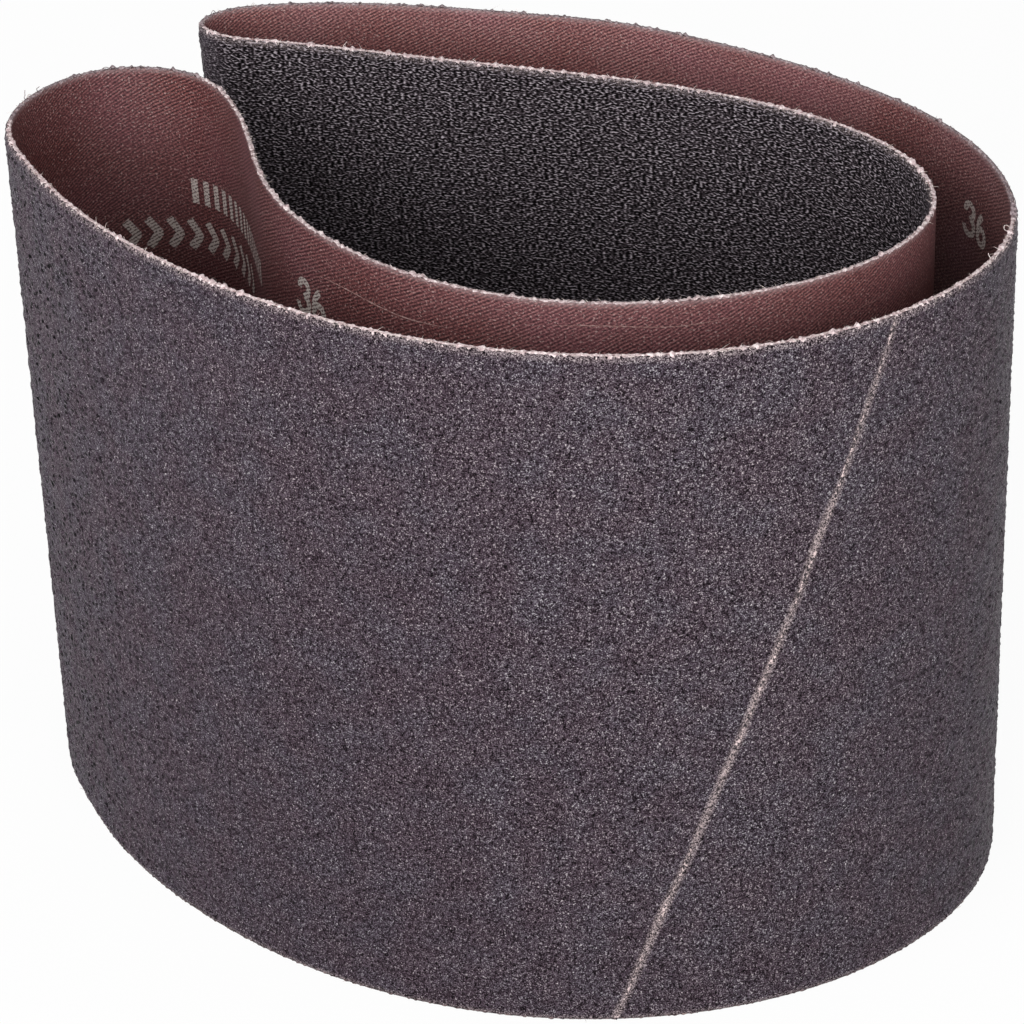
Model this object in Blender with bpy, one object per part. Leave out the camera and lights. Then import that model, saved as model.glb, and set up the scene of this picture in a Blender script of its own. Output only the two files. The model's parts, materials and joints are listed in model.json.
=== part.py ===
# Sanding belt: an endless strip of cloth-backed abrasive, folded in on itself and standing on its cut edge
import math

import bmesh
import bpy
import numpy as np

mm = 0.001

# Driving dimensions of the belt, in metres
belt_width = 0.100
belt_length = 0.610
cloth_thickness = 0.0005
coat_thickness = 0.0005
bond_clearance = 0.00005

# The butt splice, with its distances measured along the belt
splice_foot = 0.1084
splice_slant = math.radians(18.28)
cloth_butt_gap = 0.0002
coat_butt_gap = 0.0008
tape_width = 0.018
tape_thickness = 0.00015
tape_clearance = 0.0001
tape_trim = 0.0004

# How the foot of the wall stands away from its upper edge
foot_spread = 0.0275
foot_deepening = 0.0122
foot_skew = 0.094
foot_shift = 0.00307

# Fineness of the wall
longest_facet = 0.003
facet_turn = math.radians(5.0)
tape_rows = 28
tape_columns = 8

# Plan of the folded loop at its upper edge, in millimetres, counter-clockwise
front_wall = ((-66, 11.5), (-62, -0.5), (-56, -11), (-40, -29), (-19, -43), (4, -50), (28, -49), (50, -39))
right_bend = ((64.5, -19), (62.5, 5))
back_wall = ((47.5, 24.5), (28, 38), (16.5, 43.5), (4, 46.5), (-19, 50))
back_lobe = ((-34, 49.5), (-40.5, 47), (-42.5, 43.5), (-40, 40), (-34, 38))
pocket_back = ((-9.5, 32), (14.5, 26), (37, 17))
pocket_bend = ((54, 0), (55.5, -12), (49.5, -23.5))
pocket_front = ((29, -35.5), (5, -37), (-16.5, -26.5), (-30.5, -6.5))
front_lobe = ((-36.5, 17.5), (-43, 27), (-54, 28.5), (-63, 21.5))
fold = front_wall + right_bend + back_wall + back_lobe + pocket_back + pocket_bend + pocket_front + front_lobe
samples_per_span = 48


def smooth_loop(points):
    """Close a cubic spline of continuous curvature through the points."""
    here = np.array(points, float)
    ahead = np.roll(here, -1, axis=0)
    span = np.linalg.norm(ahead - here, axis=1)
    count = len(here)
    matrix = np.zeros((count, count))
    slopes = (ahead - here) / span[:, None]
    for i in range(count):
        matrix[i, i - 1] = span[i - 1]
        matrix[i, i] = 2.0 * (span[i - 1] + span[i])
        matrix[i, (i + 1) % count] = span[i]
    bend = np.linalg.solve(matrix, 6.0 * (slopes - np.roll(slopes, 1, axis=0)))
    samples = []
    for i in range(count):
        j = (i + 1) % count
        for step in range(samples_per_span):
            done = span[i] * step / samples_per_span
            left = span[i] - done
            samples.append(
                (bend[i] * left**3 + bend[j] * done**3) / (6.0 * span[i])
                + (here[i] / span[i] - bend[i] * span[i] / 6.0) * left
                + (here[j] / span[i] - bend[j] * span[i] / 6.0) * done
            )
    return np.array(samples)


class Plan:
    """The middle of the cloth at the belt's upper edge, by distance along the belt."""

    def __init__(self, points, length):
        loop = smooth_loop(points)
        closed = np.vstack([loop, loop[:1]])
        distance = np.concatenate([[0.0], np.cumsum(np.linalg.norm(np.diff(closed, axis=0), axis=1))])
        scale = length / distance[-1]
        self.length = length
        self.line = closed * scale
        self.distance = distance * scale

    def point(self, along):
        along = along % self.length
        return np.array([np.interp(along, self.distance, self.line[:, axis]) for axis in (0, 1)])

    def heading(self, along):
        reach = 0.2 * mm
        step = self.point(along + reach) - self.point(along - reach)
        return step / np.linalg.norm(step)

    def outward(self, along):
        x, y = self.heading(along)
        return np.array([y, -x])

    def stations(self):
        """Facet edges, closer together where the belt bends more."""
        fine = np.linspace(0.0, self.length, 3001)
        heading = np.array([self.heading(along) for along in fine])
        angle = np.unwrap(np.arctan2(heading[:, 1], heading[:, 0]))
        turn = np.abs(np.gradient(angle, fine))
        density = np.maximum(1.0 / longest_facet, turn / facet_turn)
        count = np.concatenate([[0.0], np.cumsum(0.5 * (density[1:] + density[:-1]) * np.diff(fine))])
        facets = math.ceil(count[-1])
        wanted = np.arange(facets) * count[-1] / facets
        return np.interp(wanted, count, fine)


plan = Plan([(x * mm, y * mm) for x, y in fold], belt_length)


def wall_point(along, height, outside):
    """A point of the wall: along the belt, up its width, and out from the middle of its cloth."""
    x, y = plan.point(along) + outside * plan.outward(along)
    down = 1.0 - height / belt_width
    return (x + down * (foot_spread * x + foot_skew * y + foot_shift), y + down * foot_deepening * y, height)


def splice_place(height):
    """Distance along the belt at which the slanted splice crosses this height."""
    return splice_foot + height * math.tan(splice_slant)


def new_object(name, vertices, faces, material):
    mesh = bpy.data.meshes.new(name)
    shape = bmesh.new()
    corners = [shape.verts.new(vertex) for vertex in vertices]
    for face in faces:
        shape.faces.new([corners[i] for i in face])
    bmesh.ops.recalc_face_normals(shape, faces=shape.faces[:])
    shape.to_mesh(mesh)
    shape.free()
    if material:
        mesh.materials.append(material)
    part = bpy.data.objects.new(name, mesh)
    bpy.context.scene.collection.objects.link(part)
    return part


def layer_ring(name, inner, outer, material):
    """One layer of the endless strip, between two distances from the middle of the cloth."""
    section = ((inner, 0.0), (inner, belt_width), (outer, belt_width), (outer, 0.0))
    stations = plan.stations()
    vertices = [wall_point(along, height, outside) for along in stations for outside, height in section]
    faces = []
    for i in range(len(stations)):
        inner_foot, inner_edge, outer_edge, outer_foot = range(4 * i, 4 * i + 4)
        k = 4 * ((i + 1) % len(stations))
        next_inner_foot, next_inner_edge, next_outer_edge, next_outer_foot = range(k, k + 4)
        # The leaning wall twists a little, so every layer splits its facets along the same diagonal
        faces += [
            (inner_foot, inner_edge, next_inner_edge),
            (inner_foot, next_inner_edge, next_inner_foot),
            (outer_foot, next_outer_edge, outer_edge),
            (outer_foot, next_outer_foot, next_outer_edge),
            (inner_edge, outer_edge, next_outer_edge, next_inner_edge),
            (inner_foot, next_inner_foot, next_outer_foot, outer_foot),
        ]
    return new_object(name, vertices, faces, material)


def slanted_ribbon(name, width, low, high, inner, outer, material):
    """A closed patch that follows the splice up the curved wall."""
    rows, columns = tape_rows, tape_columns
    vertices = []
    for outside in (inner, outer):
        for row in range(rows + 1):
            height = low + (high - low) * row / rows
            for column in range(columns + 1):
                along = splice_place(height) + width * (column / columns - 0.5)
                vertices.append(wall_point(along, height, outside))
    step = columns + 1
    sheet = step * (rows + 1)
    faces = []
    for row in range(rows):
        for column in range(columns):
            k = row * step + column
            quad = (k, k + 1, k + step + 1, k + step)
            faces.append(quad)
            faces.append(tuple(i + sheet for i in reversed(quad)))
    rim = [column for column in range(columns)]
    rim += [row * step + columns for row in range(rows)]
    rim += [rows * step + column for column in range(columns, 0, -1)]
    rim += [row * step for row in range(rows, 0, -1)]
    for i, k in enumerate(rim):
        n = rim[(i + 1) % len(rim)]
        faces.append((k, n, n + sheet, k + sheet))
    return new_object(name, vertices, faces, material)


def cut_splice(part, gap, inner, outer):
    """Part one layer along the splice, so that its two slanted ends butt together."""
    beyond = 2.0 * mm
    cutter = slanted_ribbon(
        part.name + "_cutter", gap, -beyond, belt_width + beyond, inner - beyond, outer + beyond, None
    )
    cutter.hide_render = True
    cutter.display_type = "WIRE"
    cut = part.modifiers.new("splice", "BOOLEAN")
    cut.operation = "DIFFERENCE"
    cut.solver = "EXACT"
    cut.object = cutter


def finish(name, colour, roughness):
    material = bpy.data.materials.new(name)
    material.use_nodes = True
    shader = material.node_tree.nodes["Principled BSDF"]
    shader.inputs["Base Color"].default_value = (*colour, 1.0)
    shader.inputs["Roughness"].default_value = roughness
    shader.inputs["Metallic"].default_value = 0.0
    return material


def stand_at_origin(parts):
    """Put the middle of the belt's footprint box on the origin."""
    bpy.context.view_layer.update()
    corners = np.array([vertex.co for part in parts for vertex in part.data.vertices])
    middle = 0.5 * (corners.min(axis=0) + corners.max(axis=0))
    for part in list(bpy.context.scene.objects):
        for vertex in part.data.vertices:
            vertex.co.x -= middle[0]
            vertex.co.y -= middle[1]


for leftover in list(bpy.data.objects):
    bpy.data.objects.remove(leftover, do_unlink=True)

cloth_inner = -0.5 * cloth_thickness
cloth_outer = 0.5 * cloth_thickness
coat_inner = cloth_outer + bond_clearance
coat_outer = coat_inner + coat_thickness
tape_outer = cloth_inner - tape_clearance
tape_inner = tape_outer - tape_thickness

# Backing: twill cloth on the inner side of the loop
cloth_backing = layer_ring("cloth_backing", cloth_inner, cloth_outer, finish("brown_cloth", (0.10, 0.037, 0.034), 0.85))
cut_splice(cloth_backing, cloth_butt_gap, cloth_inner, cloth_outer)

# Abrasive: grain in resin, on the outer side of the loop
abrasive_coat = layer_ring("abrasive_coat", coat_inner, coat_outer, finish("grey_grain", (0.065, 0.055, 0.06), 0.6))
cut_splice(abrasive_coat, coat_butt_gap, coat_inner, coat_outer)

# Tape: carries the pull across the butted ends, on the cloth side
splice_tape = slanted_ribbon(
    "splice_tape", tape_width, tape_trim, belt_width - tape_trim, tape_inner, tape_outer,
    finish("clear_tape", (0.30, 0.22, 0.17), 0.4),
)

stand_at_origin((cloth_backing, abrasive_coat, splice_tape))
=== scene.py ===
# A coarse cloth-backed sanding belt, folded in on itself: the looks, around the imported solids
import json
import math

import bpy
import numpy as np
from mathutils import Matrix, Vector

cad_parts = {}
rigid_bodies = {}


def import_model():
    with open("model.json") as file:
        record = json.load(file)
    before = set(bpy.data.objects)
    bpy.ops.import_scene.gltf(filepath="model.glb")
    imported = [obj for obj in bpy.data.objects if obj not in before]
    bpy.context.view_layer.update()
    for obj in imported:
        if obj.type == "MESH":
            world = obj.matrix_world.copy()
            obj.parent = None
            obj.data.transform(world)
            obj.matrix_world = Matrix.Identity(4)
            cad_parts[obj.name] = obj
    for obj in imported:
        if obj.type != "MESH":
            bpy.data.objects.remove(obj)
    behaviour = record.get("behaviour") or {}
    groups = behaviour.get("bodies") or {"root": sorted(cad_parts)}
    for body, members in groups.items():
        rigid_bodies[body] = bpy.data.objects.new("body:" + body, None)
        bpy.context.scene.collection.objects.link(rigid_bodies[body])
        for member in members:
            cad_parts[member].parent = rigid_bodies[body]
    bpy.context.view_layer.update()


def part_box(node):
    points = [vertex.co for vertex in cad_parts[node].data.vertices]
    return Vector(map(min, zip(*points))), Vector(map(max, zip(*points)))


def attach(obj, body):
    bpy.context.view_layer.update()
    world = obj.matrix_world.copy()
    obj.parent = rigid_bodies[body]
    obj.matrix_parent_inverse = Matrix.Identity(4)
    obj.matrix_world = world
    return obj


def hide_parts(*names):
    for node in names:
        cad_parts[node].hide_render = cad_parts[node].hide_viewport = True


for leftover in list(bpy.data.objects):
    bpy.data.objects.remove(leftover, do_unlink=True)

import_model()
mm = 0.001
mapScale = 10  # the pieces' map of the flat strip is in tenths of a metre
sharpFrom = math.radians(40)  # edges steeper than this stay crisp

# The strip: the same fold as the solids, in millimetres, at the belt's upper edge
belt = {
    "length": 610 * mm,
    "clothHalf": 0.25 * mm,
    "coatFoot": 0.30 * mm,  # where the resin starts, from the middle of the cloth
    "coatDepth": 0.50 * mm,
    "footSpread": 0.0275,
    "footDeepening": 0.0122,
    "footSkew": 0.094,
    "footShift": 3.07 * mm,
    "spliceFoot": 108.4 * mm,
    "spliceSlant": math.radians(18.28),
    "fold": [
        (-66, 11.5), (-62, -0.5), (-56, -11), (-40, -29), (-19, -43), (4, -50), (28, -49), (50, -39),
        (64.5, -19), (62.5, 5),
        (47.5, 24.5), (28, 38), (16.5, 43.5), (4, 46.5), (-19, 50),
        (-34, 49.5), (-40.5, 47), (-42.5, 43.5), (-40, 40), (-34, 38),
        (-9.5, 32), (14.5, 26), (37, 17),
        (54, 0), (55.5, -12), (49.5, -23.5),
        (29, -35.5), (5, -37), (-16.5, -26.5), (-30.5, -6.5),
        (-36.5, 17.5), (-43, 27), (-54, 28.5), (-63, 21.5),
    ],
}
clothLow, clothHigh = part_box("cloth_backing")
beltWidth = clothHigh.z - clothLow.z


def foldLine(points, samples=64):
    # a closed cubic spline of continuous curvature
    here = np.array(points, float)
    ahead = np.roll(here, -1, axis=0)
    span = np.linalg.norm(ahead - here, axis=1)
    slope = (ahead - here) / span[:, None]
    count = len(here)
    matrix = np.zeros((count, count))
    for i in range(count):
        matrix[i, i - 1] = span[i - 1]
        matrix[i, i] = 2 * (span[i - 1] + span[i])
        matrix[i, (i + 1) % count] = span[i]
    bend = np.linalg.solve(matrix, 6 * (slope - np.roll(slope, 1, axis=0)))
    done = np.linspace(0, 1, samples, endpoint=False)[None, :, None] * span[:, None, None]
    left = span[:, None, None] - done
    width = span[:, None, None]
    b0, b1 = bend[:, None, :], np.roll(bend, -1, axis=0)[:, None, :]
    p0, p1 = here[:, None, :], ahead[:, None, :]
    line = (b0 * left**3 + b1 * done**3) / (6 * width)
    line = line + (p0 / width - b0 * width / 6) * left + (p1 / width - b1 * width / 6) * done
    return line.reshape(-1, 2)


line = foldLine(belt["fold"])
line = np.vstack([line, line[:1]])
lineAt = np.concatenate([[0], np.cumsum(np.linalg.norm(np.diff(line, axis=0), axis=1))])
line = line * belt["length"] / lineAt[-1]
lineAt = lineAt * belt["length"] / lineAt[-1]


def planPoint(along):
    along = np.mod(along, belt["length"])
    return np.stack([np.interp(along, lineAt, line[:, 0]), np.interp(along, lineAt, line[:, 1])], axis=-1)


def leanPoint(along, height, outside):
    # along the belt, up its width, and out from the middle of the cloth
    reach = 0.3 * mm
    step = planPoint(along + reach) - planPoint(along - reach)
    step = step / np.linalg.norm(step, axis=-1, keepdims=True)
    outward = np.stack([step[..., 1], -step[..., 0]], axis=-1)
    place = planPoint(along) + np.asarray(outside)[..., None] * outward
    down = 1 - height / beltWidth
    x = place[..., 0] + down * (
        belt["footSpread"] * place[..., 0] + belt["footSkew"] * place[..., 1] + belt["footShift"]
    )
    y = place[..., 1] * (1 + down * belt["footDeepening"])
    return np.stack([x, y, height + 0 * x], axis=-1)


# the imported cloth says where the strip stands
ringCount = 2400
ringAt = np.linspace(0, belt["length"], ringCount)
ring = np.concatenate([
    leanPoint(ringAt, np.full(ringCount, height), np.full(ringCount, outside))
    for height in (0.0, beltWidth) for outside in (-belt["clothHalf"], belt["clothHalf"])
])
standAt = (np.array(clothLow) + np.array(clothHigh)) / 2 - (ring.min(axis=0) + ring.max(axis=0)) / 2
standAt[2] = clothLow.z


def wall(along, height, outside):
    along, height, outside = np.broadcast_arrays(
        np.asarray(along, float), np.asarray(height, float), np.asarray(outside, float)
    )
    return leanPoint(along, height, outside) + standAt


def spliceAt(height):
    return belt["spliceFoot"] + height * math.tan(belt["spliceSlant"])


def makePiece(name, points, faces, material, beltPlace=None):
    # beltPlace is each point's place on the flat strip, kept as a UV map
    mesh = bpy.data.meshes.new(name)
    points = np.asarray(points, np.float32).reshape(-1, 3)
    faces = np.asarray(faces, np.int32)
    sides = faces.shape[1]
    mesh.vertices.add(len(points))
    mesh.vertices.foreach_set("co", points.ravel())
    mesh.loops.add(faces.size)
    mesh.loops.foreach_set("vertex_index", faces.ravel())
    mesh.polygons.add(len(faces))
    mesh.polygons.foreach_set("loop_start", np.arange(0, faces.size, sides, dtype=np.int32))
    if beltPlace is not None:
        layer = mesh.uv_layers.new(name="beltPlace")
        place = np.asarray(beltPlace, np.float32).reshape(-1, 2) * mapScale
        layer.data.foreach_set("uv", place[faces.ravel()].ravel())
    mesh.update(calc_edges=True)
    mesh.validate()
    mesh.shade_smooth()
    mesh.materials.append(material)
    piece = bpy.data.objects.new(name, mesh)
    bpy.context.scene.collection.objects.link(piece)
    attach(piece, "root")
    return piece


def gridFaces(rows, columns, closeRows=False, closeColumns=False):
    i = np.arange(rows if closeRows else rows - 1)[:, None]
    j = np.arange(columns if closeColumns else columns - 1)[None, :]
    nextI, nextJ = (i + 1) % rows, (j + 1) % columns
    quads = np.stack([
        i * columns + j, nextI * columns + j, nextI * columns + nextJ, i * columns + nextJ
    ], axis=-1)
    return quads.reshape(-1, 4)


# Shading helpers
def linear(code):
    # sRGB hex to the linear colour that the shaders take
    values = [int(code[i:i + 2], 16) / 255 for i in (1, 3, 5)]
    values = [v / 12.92 if v <= 0.04045 else ((v + 0.055) / 1.055) ** 2.4 for v in values]
    return (*values, 1.0)


def addNode(tree, kind, settings=None, links=None):
    # links holds a socket, to join, or a plain value, to set
    node = tree.nodes.new(kind)
    for key, value in (settings or {}).items():
        setattr(node, key, value)
    for key, value in (links or {}).items():
        if isinstance(value, bpy.types.NodeSocket):
            tree.links.new(value, node.inputs[key])
        else:
            node.inputs[key].default_value = value
    return node


def newMaterial(name):
    material = bpy.data.materials.new(name)
    material.use_nodes = True
    tree = material.node_tree
    shader = tree.nodes["Principled BSDF"]
    return material, tree, shader


def maths(tree, operation, a, b=0.0, c=0.0):
    return addNode(tree, "ShaderNodeMath", {"operation": operation}, {0: a, 1: b, 2: c}).outputs[0]


def multiplyAdd(tree, a, b, c):
    return maths(tree, "MULTIPLY_ADD", a, b, c)


def ramp(tree, factor, stops):
    node = addNode(tree, "ShaderNodeValToRGB", None, {"Fac": factor})
    elements = node.color_ramp.elements
    while len(elements) < len(stops):
        elements.new(0.5)
    for element, (position, code) in zip(elements, stops):
        element.position = position
        element.color = linear(code)
    return node.outputs["Color"]


def mixColour(tree, factor, a, b, blend="MIX"):
    # the numbers are the node's sockets for the factor, both colours and the result
    node = addNode(tree, "ShaderNodeMix", {"data_type": "RGBA", "blend_type": blend}, {0: factor, 6: a, 7: b})
    return node.outputs[2]


def noise(tree, vector, scale, detail, roughness=0.5, distortion=0.0):
    return addNode(tree, "ShaderNodeTexNoise", None, {
        "Vector": vector, "Scale": scale, "Detail": detail,
        "Roughness": roughness, "Distortion": distortion}).outputs["Fac"]


def mapRange(tree, value, low, high, first, last):
    return addNode(tree, "ShaderNodeMapRange", None, {
        "Value": value, 1: low, 2: high, 3: first, 4: last}).outputs[0]


def fade(tree, distance, reach):
    # 1 at the place itself, down to 0 at this reach
    return mapRange(tree, distance, 0.0, reach, 1.0, 0.0)


def away(tree, value, place):
    return maths(tree, "ABSOLUTE", maths(tree, "SUBTRACT", value, place))


def finishShader(tree, shader, colour, roughness, height, bump):
    # roughness is a plain value or a socket, and bump is how strong and how deep the height shows
    tree.links.new(colour, shader.inputs["Base Color"])
    if isinstance(roughness, bpy.types.NodeSocket):
        tree.links.new(roughness, shader.inputs["Roughness"])
    else:
        shader.inputs["Roughness"].default_value = roughness
    strength, distance = bump
    node = addNode(tree, "ShaderNodeBump", None, {
        "Height": height, "Strength": strength, "Distance": distance})
    tree.links.new(node.outputs[0], shader.inputs["Normal"])


# Materials
coat = {
    "grainSize": 0.54 * mm,  # grit 36
    "chip": 0.18 * mm,  # the facets and resin ridges on each grain
    "crest": 0.62,  # a grain's height at its middle, in cells: it falls with the distance from there
    "crestShare": 0.3,
    "chipShare": 1.5,
    "chipBump": 0.8,
    "pocketBump": 1.6,
    "toneGain": 1.26,  # from relief to a place in the ramp of colours
    "toneBase": -0.585,
    "toneDrift": 0.04,
    "toneRise": 0.05,  # painted light: the coat is a little lighter up the wall
    # from painted shade in the hollows, through the grain's own body, up to painted highlights on the crests
    "pitShade": "#040304",
    "shade": "#32292f",
    "body": "#4c414b",
    "fleck": "#69636a",
    "glint": "#beb8b9",
    # the resin's tint drifts between these
    "tints": [(0.38, "#fff7f9"), (0.50, "#fefafc"), (0.62, "#fafbfe")],
    # near the splice the crests are painted brighter and sharper: stronger painted highlights
    "glintsNearSpliceAt": 128 * mm,
    "glintsNearSpliceReach": 50 * mm,
    "glintsNearSpliceGain": 0.16,
    "glintsNearSpliceBase": -0.102,
    # on the bends at both ends of the front wall the grain is painted lighter and an even grey, with painted
    # shade in small pits
    "frontMiddle": 98 * mm,
    "flatHalf": 30 * mm,
    "flatFade": 55 * mm,
    "bendHalf": 90 * mm,
    "bendFade": 22 * mm,
    "bendEven": -0.30,
    "bendLift": 0.235,
    "pitSpacing": 0.95 * mm,
    "pitStretch": 1.5,
    "pitReach": 0.30,  # in cells
    "pitRarity": -2.4,
    "pitGain": 8.0,
    "pitElsewhere": 0.08,
    # inside the pocket the same coat is painted in shade, with painted highlights on short level runs where
    # the crests catch the light from above
    "pocketFrom": 314 * mm,
    "pocketTo": 433 * mm,
    "pocketFade": 6 * mm,
    "pocketRun": 0.48 * mm,
    "pocketRise": 0.23 * mm,
    "pocketShade": "#0a0809",
    "pocketShadedBody": "#312a2e",
    "pocketLitRidge": "#655c62",
    "pocketGlint": "#b3a9b0",
    # fine fibre and resin dust beside the cuts, caught on the crests
    "dust": "#bfaeae",
    "edgeDustReach": 1.0 * mm,
    "edgeDustGain": 1.8,
    "edgeDustBase": -1.15,
    "spliceDustReach": 0.85 * mm,
    "spliceDustGain": 3.6,
    "spliceDustBase": -2.15,
    "spliceDustDrift": 1.1 * mm,
    "dustRoughness": 0.4,
    "roughness": 0.36,
    "specular": 0.03,  # the pits between the grains hide most of the gloss, and the glints are painted into the colour
    "bump": (1.0, 0.42 * mm),
}


def beltUv(tree):
    # the map itself, then metres along the belt and up its width
    uv = addNode(tree, "ShaderNodeUVMap", {"uv_map": "beltPlace"}).outputs["UV"]
    parts = addNode(tree, "ShaderNodeSeparateXYZ", None, {"Vector": uv})
    along = maths(tree, "MULTIPLY", parts.outputs["X"], 1 / mapScale)
    height = maths(tree, "MULTIPLY", parts.outputs["Y"], 1 / mapScale)
    return uv, along, height


def grainTone(tree, relief, broad, along, height, bend):
    tone = multiplyAdd(tree, relief, coat["toneGain"], coat["toneBase"])
    tone = multiplyAdd(tree, broad, coat["toneDrift"], tone)
    # painted light, a little lighter up the wall
    rise = maths(tree, "DIVIDE", height, beltWidth)
    tone = multiplyAdd(tree, rise, coat["toneRise"], tone)
    # stronger painted highlights on the crests near the splice
    glintsNearSplice = fade(tree, away(tree, along, coat["glintsNearSpliceAt"]), coat["glintsNearSpliceReach"])
    crests = multiplyAdd(tree, relief, coat["glintsNearSpliceGain"], coat["glintsNearSpliceBase"])
    tone = multiplyAdd(tree, glintsNearSplice, crests, tone)
    # on the bends the tone is painted lighter and more even
    even = multiplyAdd(tree, tone, coat["bendEven"], coat["bendLift"])
    return multiplyAdd(tree, bend, even, tone)


def frontBends(tree, along):
    # 1 on the two bends beside the front wall, 0 on the flat of it and beyond them
    half = belt["length"] / 2
    turn = maths(tree, "WRAP", along, half, -half)
    fromMiddle = away(tree, turn, coat["frontMiddle"])
    flat = fade(tree, maths(tree, "SUBTRACT", fromMiddle, coat["flatHalf"]), coat["flatFade"])
    near = fade(tree, maths(tree, "SUBTRACT", fromMiddle, coat["bendHalf"]), coat["bendFade"])
    return maths(tree, "MULTIPLY", maths(tree, "SUBTRACT", 1.0, flat), near)


def shadedPits(tree, along, height, bend):
    # painted shade in small pits between the grains, one in most cells, a little longer along the belt: full
    # on the two bends, faint elsewhere
    spread = addNode(tree, "ShaderNodeCombineXYZ", None, {
        "X": maths(tree, "DIVIDE", along, coat["pitStretch"] * coat["pitSpacing"]),
        "Y": maths(tree, "DIVIDE", height, coat["pitSpacing"])}).outputs[0]
    holes = addNode(tree, "ShaderNodeTexVoronoi", {"feature": "F1", "voronoi_dimensions": "2D"}, {
        "Vector": spread, "Scale": 1.0, "Randomness": 1.0})
    pick = addNode(tree, "ShaderNodeSeparateXYZ", None, {"Vector": holes.outputs["Color"]}).outputs["X"]
    deep = multiplyAdd(tree, pick, coat["pitGain"], coat["pitRarity"])
    hole = fade(tree, holes.outputs["Distance"], coat["pitReach"])
    hole = maths(tree, "MULTIPLY", hole, maths(tree, "MAXIMUM", 0.0, deep))
    hole = maths(tree, "MINIMUM", 1.0, hole)
    elsewhere = coat["pitElsewhere"]
    return maths(tree, "MULTIPLY", hole, multiplyAdd(tree, bend, 1 - elsewhere, elsewhere))


def pocketShadeAndGlints(tree, along, height):
    # the runs' noise, their painted shade and highlights, and where they show
    runs = addNode(tree, "ShaderNodeCombineXYZ", None, {
        "X": maths(tree, "DIVIDE", along, coat["pocketRun"]),
        "Y": maths(tree, "DIVIDE", height, coat["pocketRise"])}).outputs[0]
    pocketRuns = noise(tree, runs, 1.0, 0.3, 0.6)
    tone = multiplyAdd(tree, pocketRuns, 2.0, -0.5)
    colour = ramp(tree, tone, [
        (0.24, coat["pocketShade"]), (0.48, coat["pocketShadedBody"]),
        (0.66, coat["pocketLitRidge"]), (0.90, coat["pocketGlint"])])
    middle = (coat["pocketFrom"] + coat["pocketTo"]) / 2
    half = (coat["pocketTo"] - coat["pocketFrom"]) / 2
    past = maths(tree, "SUBTRACT", away(tree, along, middle), half - coat["pocketFade"])
    return pocketRuns, colour, fade(tree, past, coat["pocketFade"])


def cutDust(tree, uv, relief, along, height):
    # dust by the upper and lower cuts, and in beads along the splice
    fromEdge = maths(tree, "MINIMUM", height, maths(tree, "SUBTRACT", beltWidth, height))
    caught = multiplyAdd(tree, relief, coat["edgeDustGain"], coat["edgeDustBase"])
    edgeDust = maths(tree, "MULTIPLY", fade(tree, fromEdge, coat["edgeDustReach"]), caught)
    drift = noise(tree, uv, 9.0, 3.0)
    slope = math.tan(belt["spliceSlant"])
    beside = maths(tree, "SUBTRACT", along, multiplyAdd(tree, height, slope, belt["spliceFoot"]))
    wander = coat["spliceDustDrift"]
    beside = multiplyAdd(tree, drift, wander, maths(tree, "SUBTRACT", beside, wander / 2))
    spliceDust = fade(tree, maths(tree, "ABSOLUTE", beside), coat["spliceDustReach"])
    spliceDust = maths(tree, "MULTIPLY", spliceDust, multiplyAdd(tree, drift, 1.7, -0.15))
    caught = multiplyAdd(tree, relief, coat["spliceDustGain"], coat["spliceDustBase"])
    spliceDust = maths(tree, "MULTIPLY", spliceDust, caught)
    dust = maths(tree, "MAXIMUM", edgeDust, spliceDust)
    return addNode(tree, "ShaderNodeClamp", None, {"Value": dust}).outputs[0]


def grainCoatMaterial():
    # fused alumina grain under cured phenolic resin: dark, with painted glints on the crests and painted
    # shade in black pits
    material, tree, shader = newMaterial("aluminaGrainInResin")
    place = addNode(tree, "ShaderNodeTexCoord").outputs["Object"]
    uv, along, height = beltUv(tree)
    cells = addNode(tree, "ShaderNodeTexVoronoi", {"feature": "F1"}, {
        "Vector": place, "Scale": 1 / coat["grainSize"], "Randomness": 1.0})
    chips = noise(tree, place, 1 / coat["chip"], 1.0, 0.6, 0.25)
    broad = noise(tree, place, 160.0, 3.0)
    crest = maths(tree, "SUBTRACT", coat["crest"], cells.outputs["Distance"])
    relief = maths(tree, "MULTIPLY", crest, coat["crestShare"])
    relief = multiplyAdd(tree, chips, coat["chipShare"], relief)
    bend = frontBends(tree, along)
    # the relief picks the colour: painted shade low between the grains, painted highlights on the crests
    colour = ramp(tree, grainTone(tree, relief, broad, along, height, bend), [
        (0.10, coat["pitShade"]), (0.34, coat["shade"]), (0.52, coat["body"]),
        (0.74, coat["fleck"]), (0.98, coat["glint"])])
    colour = mixColour(tree, 1.0, colour, ramp(tree, broad, coat["tints"]), "MULTIPLY")
    colour = mixColour(tree, shadedPits(tree, along, height, bend), colour, linear(coat["pitShade"]))
    # inside the pocket, painted shade and highlights stand in for the coat's colour
    pocketRuns, pocketPaintedColour, inPocket = pocketShadeAndGlints(tree, along, height)
    colour = mixColour(tree, inPocket, colour, pocketPaintedColour)
    dust = cutDust(tree, uv, relief, along, height)
    colour = mixColour(tree, dust, colour, linear(coat["dust"]))
    rough = multiplyAdd(tree, dust, coat["dustRoughness"], coat["roughness"])
    shader.inputs["Specular IOR Level"].default_value = coat["specular"]
    height = multiplyAdd(tree, chips, coat["chipBump"], crest)
    height = multiplyAdd(tree, maths(tree, "MULTIPLY", pocketRuns, inPocket), coat["pocketBump"], height)
    finishShader(tree, shader, colour, rough, height, coat["bump"])
    return material


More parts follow.
